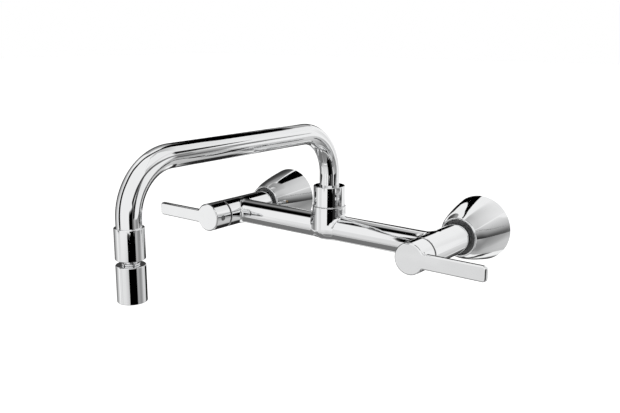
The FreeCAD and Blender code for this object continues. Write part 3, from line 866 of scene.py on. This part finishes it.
collar = lathe([
    (COLLAR_HOLLOW, SEAM + 0.3, 0), (COLLAR_R, SEAM + 0.3, 0.3), (COLLAR_R, COLLAR_TOP, 0.6),
    (TUBE_HOLE, COLLAR_TOP, 0.25), (TUBE_HOLE, 30.5, 0), (SPIGOT_BORE, 30.5, 0), (SPIGOT_BORE, 29.0, 0),
    (COLLAR_HOLLOW, 29.0, 0),
])
pierce(collar, COLLAR_R, math.pi / 2, GRUB_Z, GRUB_HOLE, COLLAR_R - COLLAR_HOLLOW - 0.02)
piece("collar_skin", collar, "spout", "chrome", ["spout_collar"], at(0, -BAR_DEPTH, 0))

tip = at(0, -BAR_DEPTH - REACH, 0)
sleeve = lathe([
    (6.0, 20.7, 0.4), (9.35, 20.7, 0.45), (9.35, 40.6, 0.5), (TUBE_HOLE, 40.6, 0.2),
    (TUBE_HOLE, TUBE_LOW, 0), (6.4, TUBE_LOW, 0), (6.4, 24.0, 0),
])
piece("sleeve_skin", sleeve, "spout", "chrome", ["end_sleeve"], tip)

BALL_Z = 24.7
BALL_R = 6.3
STEM_R = 4.3
STEM_BORE = 2.8


def make_stem():
    """Ball, neck and bright flare ring, with the bore through them."""
    skin = Skin()
    angles = even_angles(96)

    def place(r, z):
        return skin.add(circle(angles, r, z))

    top_angle = math.acos(STEM_BORE / BALL_R)
    steps = 24
    low = -math.pi / 2 + math.asin(STEM_R / BALL_R)
    last = None
    first = None
    for k in range(steps + 1):
        a = low + (top_angle - low) * k / steps
        now = place(BALL_R * math.cos(a), BALL_Z + BALL_R * math.sin(a))
        normal = circle(angles, math.cos(a), math.sin(a))
        if last is None:
            first = now
        else:
            skin.band(last[0], now, last[1], normal)
        last = (now, normal)
    top_z = BALL_Z + BALL_R * math.sin(top_angle)
    neck_z = BALL_Z + BALL_R * math.sin(low)
    line = rounded([
        (STEM_BORE, top_z, 0), (STEM_BORE, 12.5, 0), (STEM_R, 12.5, 0), (STEM_R, 17.12, 0),
        (5.7, 17.12, 0.5), (5.7, 18.4, 0.55), (STEM_R, 18.4, 0.2), (STEM_R, neck_z, 0),
    ])
    current = last[0]
    for i, (start, end, n0, n1) in enumerate(line):
        nxt = first if i == len(line) - 1 else place(end.x, end.y)
        skin.band(current, nxt, circle(angles, *n0), circle(angles, *n1))
        current = nxt
    return skin


piece("stem_skin", make_stem(), "aerator", "chrome", ["ball_stem"], tip)

housing = lathe([
    (7.9, -6.4, 0.2), (9.3, -6.4, 0.45), (9.3, 17.1, 0.45), (4.35, 17.1, 0.15), (4.35, 13.5, 0),
    (7.9, 13.5, 0),
])
piece("housing_skin", housing, "aerator", "chrome", ["aerator_housing"], tip)

# Camera, light and surroundings

CAMERA_AT = (0.35748, -0.56881, 0.15525)
CAMERA_YAW = 37.35
CAMERA_PITCH = 12.80
CAMERA_ROLL = 0.33
FOCAL_PX = 758.76
IMAGE_W = 620.0

camera_data = bpy.data.cameras.new("camera")
camera_data.sensor_width = 36.0
camera_data.lens = FOCAL_PX * 36.0 / IMAGE_W
camera_data.clip_start = 0.01
camera = bpy.data.objects.new("camera", camera_data)
bpy.context.scene.collection.objects.link(camera)
camera.matrix_world = (
    Matrix.Translation(CAMERA_AT)
    @ Matrix.Rotation(math.radians(CAMERA_YAW), 4, "Z")
    @ Matrix.Rotation(math.radians(90.0 - CAMERA_PITCH), 4, "X")
    @ Matrix.Rotation(math.radians(CAMERA_ROLL), 4, "Z")
)
bpy.context.scene.camera = camera


def seen_directly(tree):
    """1 for camera, glossy and transmission rays, else 0."""
    path = tree.nodes.new("ShaderNodeLightPath")
    value = path.outputs["Is Camera Ray"]
    for name in ("Is Glossy Ray", "Is Transmission Ray"):
        higher = tree.nodes.new("ShaderNodeMath")
        higher.operation = "MAXIMUM"
        tree.links.new(value, higher.inputs[0])
        tree.links.new(path.outputs[name], higher.inputs[1])
        value = higher.outputs[0]
    return value


world = bpy.data.worlds.new("studio")
bpy.context.scene.world = world
world.use_nodes = True
tree = world.node_tree
background = tree.nodes["Background"]
background.inputs["Color"].default_value = (1.0, 1.0, 1.0, 1.0)
level = tree.nodes.new("ShaderNodeMapRange")
level.inputs["To Min"].default_value = 0.75
level.inputs["To Max"].default_value = 1.0
tree.links.new(seen_directly(tree), level.inputs["Value"])
tree.links.new(level.outputs["Result"], background.inputs["Strength"])

# Panels of the studio that only polished pieces see. A direction has an azimuth, 0 into the wall
# and 90 along +X, and a height, both in degrees.

FAR = 40.0
MIDDLE = Vector((0.0, -0.12, 0.02))


def far_point(azimuth, height):
    """A point on the far sphere round the object, from two angles in degrees."""
    azimuth = math.radians(azimuth)
    height = math.radians(height)
    flat = math.cos(height)
    return MIDDLE + FAR * Vector((math.sin(azimuth) * flat, math.cos(azimuth) * flat, math.sin(height)))


def panel_material():
    material = bpy.data.materials.new("studio_panel")
    material.use_nodes = True
    nodes = material.node_tree.nodes
    links = material.node_tree.links
    nodes.clear()
    out = nodes.new("ShaderNodeOutputMaterial")
    glow = nodes.new("ShaderNodeEmission")
    clear = nodes.new("ShaderNodeBsdfTransparent")
    mix = nodes.new("ShaderNodeMixShader")
    read = nodes.new("ShaderNodeAttribute")
    read.attribute_name = "panel"
    split = nodes.new("ShaderNodeSeparateXYZ")
    links.new(read.outputs["Vector"], split.inputs["Vector"])
    links.new(split.outputs["X"], glow.inputs["Strength"])
    links.new(split.outputs["Y"], mix.inputs["Fac"])
    links.new(clear.outputs["BSDF"], mix.inputs[1])
    links.new(glow.outputs["Emission"], mix.inputs[2])
    links.new(mix.outputs["Shader"], out.inputs["Surface"])
    return material


PANEL = panel_material()


def sheet(name, rows):
    """A panel from rows of (point, brightness, cover), with cover 0 clear and 1 solid."""
    across = len(rows[0])
    mesh = bpy.data.meshes.new(name)
    faces = []
    for j in range(len(rows) - 1):
        for i in range(across - 1):
            first = j * across + i
            faces.append((first, first + 1, first + across + 1, first + across))
    mesh.from_pydata([spot[0] for row in rows for spot in row], [], faces)
    layer = mesh.attributes.new("panel", "FLOAT_VECTOR", "POINT")
    for i, spot in enumerate([spot for row in rows for spot in row]):
        layer.data[i].vector = (spot[1], spot[2], 0.0)
    mesh.materials.append(PANEL)
    obj = bpy.data.objects.new(name, mesh)
    bpy.context.scene.collection.objects.link(obj)
    obj.visible_camera = False
    obj.visible_diffuse = False
    obj.visible_transmission = False
    obj.visible_volume_scatter = False
    obj.visible_shadow = False


def between(stops, steps):
    """Stops of equal length tuples with more of them put in between."""
    out = []
    for one, two in zip(stops, stops[1:]):
        for k in range(steps):
            f = k / steps
            out.append(tuple(u + (v - u) * f for u, v in zip(one, two)))
    out.append(stops[-1])
    return out


def ribbon(name, stops, centre, soft):
    """A band through stops of (point, half width, brightness) that faces the centre."""
    rows = []
    for i, (here, half, bright) in enumerate(stops):
        along = stops[min(i + 1, len(stops) - 1)][0] - stops[max(i - 1, 0)][0]
        sideways = (here - centre).cross(along).normalized() * half
        ends = 0.0 if i in (0, len(stops) - 1) else 1.0
        rows.append([
            (here + sideways * f, bright, cover * ends)
            for f, cover in ((-1, 0), (soft - 1, 1), (0, 1), (1 - soft, 1), (1, 0))
        ])
    sheet(name, rows)


def far_ribbon(name, stops, soft=0.3):
    """A band across the sky through stops of (azimuth, height, half width, brightness)."""
    ribbon(name, [
        (far_point(azimuth, height), FAR * math.tan(math.radians(half)), bright)
        for azimuth, height, half, bright in between(stops, 6)
    ], MIDDLE, soft)


def near_ribbon(name, centre, stops, soft=0.15):
    """A band round a centre through stops of (x, y, z, half width, brightness) in metres."""
    ribbon(name, [
        (Vector(spot), half, bright) for *spot, half, bright in between(stops, 3)
    ], Vector(centre), soft)


def panel(name, rows, place, soft):
    """A patch from rows of stops, each a spot for place() and a brightness.

    soft is the share that fades at the start and the end of a row, and at the first and last row.
    """
    rows = [between(row, 6) for row in rows]
    columns = [between(column, 6) for column in zip(*rows)]
    points = []
    for i, column in enumerate(columns):
        u = i / (len(columns) - 1)
        line = []
        for j, (*spot, bright) in enumerate(column):
            v = j / (len(column) - 1)
            cover = 1.0
            for part, share in zip((u, 1 - u, v, 1 - v), soft):
                cover *= min(1.0, part / share) if share else 1.0
            line.append((place(*spot), bright, cover))
        points.append(line)
    sheet(name, points)


def far_panel(name, rows, soft=(0.1, 0.1, 0.1, 0.1)):
    """A patch of sky from rows of stops (azimuth, height, brightness)."""
    panel(name, rows, far_point, soft)


def near_panel(name, rows, soft=(0, 0, 0, 0)):
    """A patch in the room from rows of stops (x, y, z, brightness)."""
    panel(name, rows, lambda *spot: Vector(spot), soft)


def wall(spots, *rows):
    """Rows of stops over the same (x, y) spots, from rows of a height and one brightness per spot."""
    return [
        [(*spot, height, bright) for spot, bright in zip(spots, brights)]
        for height, *brights in rows
    ]


def sky(azimuths, *rows):
    """The same over azimuths, with the heights as angles too."""
    return wall([(azimuth,) for azimuth in azimuths], *rows)


near_ribbon("panel_tube_line", (0.0, -0.235, 0.04), [
    (-0.085, -0.412, 0.0, 0.024, 0), (-0.085, -0.412, 0.012, 0.027, 0), (-0.086, -0.412, 0.05, 0.027, 0),
    (-0.09, -0.402, 0.09, 0.027, 0), (-0.088, -0.386, 0.129, 0.026, 0), (-0.084, -0.37, 0.155, 0.026, 0),
    (-0.086, -0.348, 0.173, 0.026, 0), (-0.085, -0.325, 0.188, 0.025, 0),
    (-0.072, -0.309, 0.205, 0.022, 0), (-0.062, -0.285, 0.216, 0.019, 0),
    (-0.05, -0.268, 0.224, 0.017, 0), (-0.03, -0.249, 0.23, 0.017, 0), (-0.02, -0.229, 0.23, 0.016, 0),
    (-0.017, -0.205, 0.226, 0.015, 0), (-0.016, -0.19, 0.22, 0.015, 0),
    (-0.014, -0.171, 0.212, 0.015, 0), (-0.016, -0.15, 0.202, 0.015, 0),
])
near_panel("panel_flag", [
    [
        (-0.045, 0.262, 0.42, 0), (-0.167, 0.38, 0.32, 0), (-0.397, 0.707, 0.47, 0),
        (-0.569, 0.953, 0.48, 0), (-0.798, 1.28, 0.39, 0), (-1.028, 1.608, 0.08, 0),
        (-1.246, 1.919, -0.31, 0),
    ],
    [
        (-0.045, 0.262, 1.3, 0), (-0.167, 0.38, 1.8, 0), (-0.397, 0.707, 2.6, 0),
        (-0.569, 0.953, 3.0, 0), (-0.798, 1.28, 3.4, 0), (-1.028, 1.608, 3.8, 0),
        (-1.246, 1.919, 4.2, 0),
    ],
], (0, 0, 0, 0.1))
near_panel("panel_side", wall(
    ((-0.47, 0.46), (-0.56, 0.36), (-0.64, 0.27), (-0.72, 0.16), (-0.79, -0.02)),
    (-0.02, 0.05, 0.05, 0.05, 0.05, 0.1),
    (0.25, 0.05, 0.05, 0.05, 0.06, 0.1),
    (0.42, 0.12, 0.12, 0.1, 0.1, 0.15),
    (0.6, 0.34, 0.32, 0.3, 0.3, 0.3),
    (1.4, 0.36, 0.34, 0.32, 0.3, 0.3),
), (0, 0, 0, 0.2))
near_panel("panel_left_dark", wall(
    ((-0.26, -0.27), (-0.26, -0.11)),
    (-0.015, 0.02, 0.02), (0.11, 0.02, 0.02),
))
near_panel("panel_tip", wall(
    ((0.172, -0.15), (0.2, -0.118)),
    (-0.03, 0.02, 0.02), (0.01, 0.02, 0.02),
))
near_panel("panel_right_flag_low", wall(
    ((0.207, -0.587), (0.254, -0.549), (0.329, -0.448), (0.364, -0.342), (0.37, -0.267)),
    (-0.6, 0, 0, 0, 0, 0),
    (-0.054, 0, 0, 0, 0, 0),
))
near_panel("panel_side_flag", wall(
    ((0.075, -0.119), (0.075, -0.092)),
    (-0.02, 0.02, 0.02), (0.042, 0.02, 0.04),
), (0, 0.15, 0, 0))
near_panel("panel_right_flag_high", [
    [
        (0.29, -0.51, -0.054, 0), (0.329, -0.448, -0.054, 0), (0.366, -0.331, -0.054, 0),
        (0.364, -0.205, -0.054, 0),
    ],
    [
        (0.29, -0.51, 0.055, 0), (0.329, -0.448, 0.055, 0), (0.366, -0.331, 0.075, 0),
        (0.364, -0.205, 0.085, 0),
    ],
], (0.03, 0.36, 0, 0.2))
near_panel("panel_right_fringe", wall(
    ((0.364, -0.23), (0.4, -0.03)),
    (0.03, 0.1, 0.15), (0.105, 0.1, 0.15),
), (0.2, 0.2, 0.2, 0.2))
near_panel("panel_roof", [
    [
        (-0.36, -0.172, 0.16, 0), (-0.065, -0.172, 0.16, 0), (-0.05, -0.165, 0.16, 0),
        (0.005, -0.151, 0.16, 0),
    ],
    [
        (-0.36, -0.012, 0.16, 0), (-0.065, -0.012, 0.16, 0), (-0.05, -0.034, 0.16, 0),
        (0.005, -0.034, 0.16, 0),
    ],
], (0.1, 0, 0.06, 0.2))
near_panel("panel_roof_back", [
    [
        (-0.16, -0.012, 0.16, 0.14), (-0.065, -0.012, 0.16, 0.32), (-0.05, -0.034, 0.16, 0.38),
        (0.005, -0.034, 0.16, 0.44),
    ],
    [
        (-0.16, -0.004, 0.16, 0.3), (-0.065, -0.004, 0.16, 0.42), (-0.05, -0.022, 0.16, 0.44),
        (0.005, -0.022, 0.16, 0.5),
    ],
    [
        (-0.16, 0.03, 0.16, 0.34), (-0.065, 0.03, 0.16, 0.51), (-0.05, 0.03, 0.16, 0.53),
        (0.005, 0.03, 0.16, 0.58),
    ],
], (0, 0.2, 0.1, 0.1))
near_panel("panel_overhead", [
    [(0.1, -0.15, 0.16, 0.03), (0.24, -0.15, 0.16, 0.03)],
    [(0.1, -0.042, 0.16, 0.03), (0.24, -0.042, 0.16, 0.03)],
])
far_panel("panel_upper", sky(
    (-6, 8, 24, 40, 52, 68, 92),
    (29, 1, 1, 0.97, 0.93, 0.82, 0.7, 0.42),
    (34, 1, 1, 0.98, 0.92, 0.8, 0.72, 0.5),
    (44, 1, 0.94, 0.88, 0.82, 0.75, 0.7, 0.6),
    (54, 0.78, 0.74, 0.72, 0.7, 0.69, 0.68, 0.6),
    (64, 0.62, 0.6, 0.6, 0.6, 0.6, 0.6, 0.6),
    (72, 0.5, 0.5, 0.52, 0.52, 0.54, 0.55, 0.55),
    (86, 0.46, 0.46, 0.48, 0.48, 0.5, 0.5, 0.5),
), (0.1, 0, 0.05, 0.1))
far_panel("panel_lever_top", sky(
    (-33, -20),
    (6, 0, 0), (21, 0, 0),
), (0, 0.1, 0.1, 0.1))
far_panel("panel_front_low", [
    [
        (-127, -43, 0.5), (-152, -43, 0.5), (-165, -43, 0.5), (-185, -43, 0.5), (-200, -43, 0.4),
        (-216, -43, 0.3),
    ],
    [
        (-127, -34, 0.6), (-152, -34, 0.78), (-165, -34, 0.8), (-185, -34, 0.8), (-200, -34, 0.7),
        (-216, -34, 0.5),
    ],
    [
        (-127, -27, 0.75), (-140, -14, 0.88), (-165, -14, 0.9), (-185, -14, 0.9), (-200, -14, 0.78),
        (-216, -14, 0.6),
    ],
], (0.03, 0.05, 0.02, 0.06))
far_panel("panel_ground", sky(
    (-153, -200, -262),
    (-45, 0.45, 0.5, 0.45),
    (-55, 0.25, 0.3, 0.25),
    (-86, 0.2, 0.2, 0.2),
), (0, 0, 0.05, 0))
far_panel("panel_left", [
    [(-128, -26, 0.8), (-110, -26, 0.6), (-92, -26, 0.22), (-75, -24, 0.12), (-60, -18, 0.1)],
    [(-128, 0, 0.8), (-110, 0, 0.6), (-92, 0, 0.22), (-75, 0, 0.12), (-60, 0, 0.1)],
    [(-128, 34, 0.8), (-110, 34, 0.7), (-92, 34, 0.5), (-75, 34, 0.4), (-60, 34, 0.4)],
], (0.1, 0.1, 0.1, 0.2))
far_ribbon("panel_post", [
    (-38, -11, 5.0, 0), (-37.5, -5, 5.0, 0), (-36, 0, 5.0, 0), (-33.5, 6, 5.0, 0), (-33, 14, 4.5, 0),
    (-31.5, 22, 4.6, 0), (-31, 35, 3.4, 0), (-30.5, 50, 2.8, 0), (-30, 63, 2.4, 0),
], 0.1)
near_ribbon("panel_post_near", (0.0, -0.06, 0.0), [
    (-0.675, 0.937, -0.2, 0.1, 0.1), (-0.673, 0.938, -0.08, 0.1, 0.05), (-0.671, 0.939, 0.02, 0.1, 0.01),
    (-0.671, 0.939, 0.15, 0.1, 0), (-0.671, 0.939, 0.27, 0.09, 0),
], 0.15)
far_panel("panel_post_low", [
    [(-68, -38, 0.6), (-54, -38, 0.2), (-42, -38, 0.05), (-10, -37, 0.05), (2, -37, 0.1), (9, -36, 0.3)],
    [(-68, -12, 0.5), (-54, -12, 0.1), (-42, -12, 0.0), (-10, -12, 0.0), (2, -12, 0.0), (9, -12, 0.1)],
], (0.06, 0.08, 0.2, 0.1))
far_ribbon("panel_thin_line", [
    (109, 2, 9.0, 0.0), (106, 6, 9.0, 0.0), (100, 14, 9.0, 0.02), (90, 21, 8.0, 0.05),
    (78, 22, 7.0, 0.08), (66, 17, 6.5, 0.1), (57, 9, 6.5, 0.12), (48, 4, 6.0, 0.12), (44, 7, 5.5, 0.18),
    (41, 8, 5.0, 0.28), (38, 10, 4.0, 0.4),
], 0.35)
far_panel("panel_horizon", sky(
    (43, 52, 60, 68, 76, 84, 93),
    (-11.5, 0.1, 0.07, 0.05, 0.03, 0.02, 0.02, 0.01),
    (-6, 0.16, 0.12, 0.1, 0.06, 0.04, 0.03, 0.02),
    (0, 0.35, 0.31, 0.26, 0.16, 0.1, 0.07, 0.05),
    (4, 0.5, 0.43, 0.35, 0.26, 0.18, 0.12, 0.09),
    (10, 0.64, 0.56, 0.48, 0.4, 0.32, 0.24, 0.18),
    (16, 0.72, 0.66, 0.62, 0.54, 0.44, 0.36, 0.28),
    (24, 0.85, 0.78, 0.72, 0.66, 0.56, 0.47, 0.38),
    (29, 0.9, 0.82, 0.76, 0.7, 0.62, 0.52, 0.42),
), (0.03, 0, 0, 0.1))
near_panel("panel_leg_card", wall(
    ((0.06, -0.2), (0.08, -0.228), (0.1, -0.262)),
    (0.026, 0.97, 0.97, 0.95),
    (0.13, 0.97, 0.97, 0.95),
), (0.02, 0, 0, 0.15))
near_panel("panel_bend_card", [
    [
        (0.044, -0.2045, 0.118, 0.97), (0.062, -0.225, 0.118, 0.97), (0.071, -0.252, 0.118, 0.97),
        (0.065, -0.286, 0.118, 0.97),
    ],
    [
        (0.033, -0.219, 0.14, 0.97), (0.047, -0.234, 0.14, 0.97), (0.053, -0.254, 0.14, 0.97),
        (0.0485, -0.278, 0.14, 0.97),
    ],
    [
        (0.0215, -0.235, 0.1525, 0.97), (0.029, -0.244, 0.1525, 0.97), (0.033, -0.2555, 0.1525, 0.97),
        (0.03, -0.27, 0.1525, 0.97),
    ],
    [
        (0.014, -0.245, 0.156, 0.97), (0.0185, -0.25, 0.156, 0.97), (0.0205, -0.2565, 0.156, 0.97),
        (0.019, -0.2646, 0.156, 0.97),
    ],
], (0, 0.06, 0.1, 0.1))
near_ribbon("panel_leg_line", (0.008, -0.262, 0.076), [
    (0.0644, -0.2991, 0.0644, 0.0079, 0.02), (0.0644, -0.29, 0.0784, 0.0079, 0.03),
    (0.0632, -0.2753, 0.0915, 0.0074, 0.05), (0.0618, -0.2588, 0.0969, 0.0068, 0.08),
    (0.06, -0.2415, 0.0949, 0.0063, 0.14), (0.0575, -0.2259, 0.0889, 0.0058, 0.2),
    (0.053, -0.2108, 0.0857, 0.0052, 0.24), (0.0501, -0.1992, 0.0874, 0.0052, 0.24),
    (0.0484, -0.1941, 0.0899, 0.0047, 0.24),
], 0.35)
far_panel("panel_behind", sky(
    (10, 20, 30),
    (-13, 0.7, 0.75, 0.85),
    (0, 0.82, 0.84, 0.9),
    (26, 0.84, 0.88, 0.94),
), (0, 0.1, 0.2, 0.3))
far_panel("panel_low_right", [
    [
        (94, -11.5, 0.5), (76, -11.5, 0.6), (68, -11.5, 0.36), (58, -11.5, 0.28), (45, -11.5, 0.42),
        (38, -13, 0.7), (25, -13, 0.8), (10, -13, 0.6),
    ],
    [
        (94, -24, 0.15), (76, -24, 0.3), (68, -24, 0.34), (58, -24, 0.3), (45, -24, 0.44),
        (38, -26, 0.66), (25, -26, 0.72), (10, -24, 0.6),
    ],
    [
        (94, -35, 0.15), (76, -35, 0.2), (68, -35, 0.26), (58, -35, 0.3), (45, -35, 0.44),
        (38, -40, 0.55), (25, -40, 0.62), (10, -38, 0.6),
    ],
    [
        (94, -50, 0.22), (76, -50, 0.22), (68, -50, 0.24), (58, -50, 0.24), (45, -50, 0.32),
        (38, -50, 0.42), (25, -50, 0.5), (10, -50, 0.45),
    ],
    [
        (94, -85, 0.22), (76, -85, 0.25), (68, -85, 0.25), (58, -85, 0.25), (45, -85, 0.25),
        (38, -85, 0.25), (25, -85, 0.25), (10, -85, 0.25),
    ],
], (0.02, 0.02, 0, 0))
far_panel("panel_low_left", [
    [
        (-152, -43, 0.3), (-128, -43, 0.24), (-124, -27, 0.35), (-110, -27, 0.36), (-90, -27, 0.28),
        (-68, -27, 0.25), (-60, -39, 0.2), (-48, -39, 0.22),
    ],
    [
        (-152, -48, 0.2), (-128, -48, 0.2), (-124, -40, 0.2), (-110, -40, 0.2), (-90, -40, 0.2),
        (-68, -40, 0.18), (-60, -45, 0.18), (-48, -45, 0.2),
    ],
    [
        (-152, -85, 0.2), (-128, -85, 0.2), (-124, -85, 0.2), (-110, -85, 0.2), (-90, -85, 0.2),
        (-68, -85, 0.2), (-60, -85, 0.2), (-30, -85, 0.25),
    ],
], (0.02, 0.03, 0.06, 0))
far_ribbon("panel_low_edge", [
    (-40, -27, 4, 0.02), (-33, -34, 5.5, 0.02), (-22, -40, 4.5, 0.02), (-10, -45, 3.5, 0.02),
    (4, -46, 3, 0.03), (14, -43, 2.5, 0.2),
], 0.4)
far_panel("panel_front", [
    [(-160, -32, 0.8), (-138, -34, 0.84)],
    [(-160, 0, 0.8), (-138, 0, 0.9)],
])

floor_size = 12.0
floor_z = -0.30
floor_mesh = bpy.data.meshes.new("floor")
floor_mesh.from_pydata(
    [(floor_size * x, floor_size * y, floor_z) for x, y in ((-1, -1), (1, -1), (1, 1), (-1, 1))],
    [], [(0, 1, 2, 3)],
)
floor = bpy.data.objects.new("floor", floor_mesh)
bpy.context.scene.collection.objects.link(floor)
floor_material, floor_nodes, floor_links, floor_shader = new_material("pale_floor")
floor_shader.inputs["Roughness"].default_value = 0.9
floor_cloud = noise(floor_nodes, floor_links, 3.0)
floor_colour = tint(floor_nodes, floor_links, floor_cloud, (0.93, 0.93, 0.93), (0.96, 0.96, 0.96))
floor_links.new(floor_colour, floor_shader.inputs["Base Color"])
floor_glow = floor_nodes.new("ShaderNodeMath")
floor_glow.operation = "MULTIPLY"
floor_glow.inputs[1].default_value = 0.45
floor_links.new(seen_directly(floor_material.node_tree), floor_glow.inputs[0])
floor_links.new(floor_glow.outputs[0], floor_shader.inputs["Emission Strength"])
floor_shader.inputs["Emission Color"].default_value = (1.0, 1.0, 1.0, 1.0)
floor_mesh.materials.append(floor_material)
floor.visible_glossy = False

bpy.context.scene.view_settings.view_transform = "Standard"
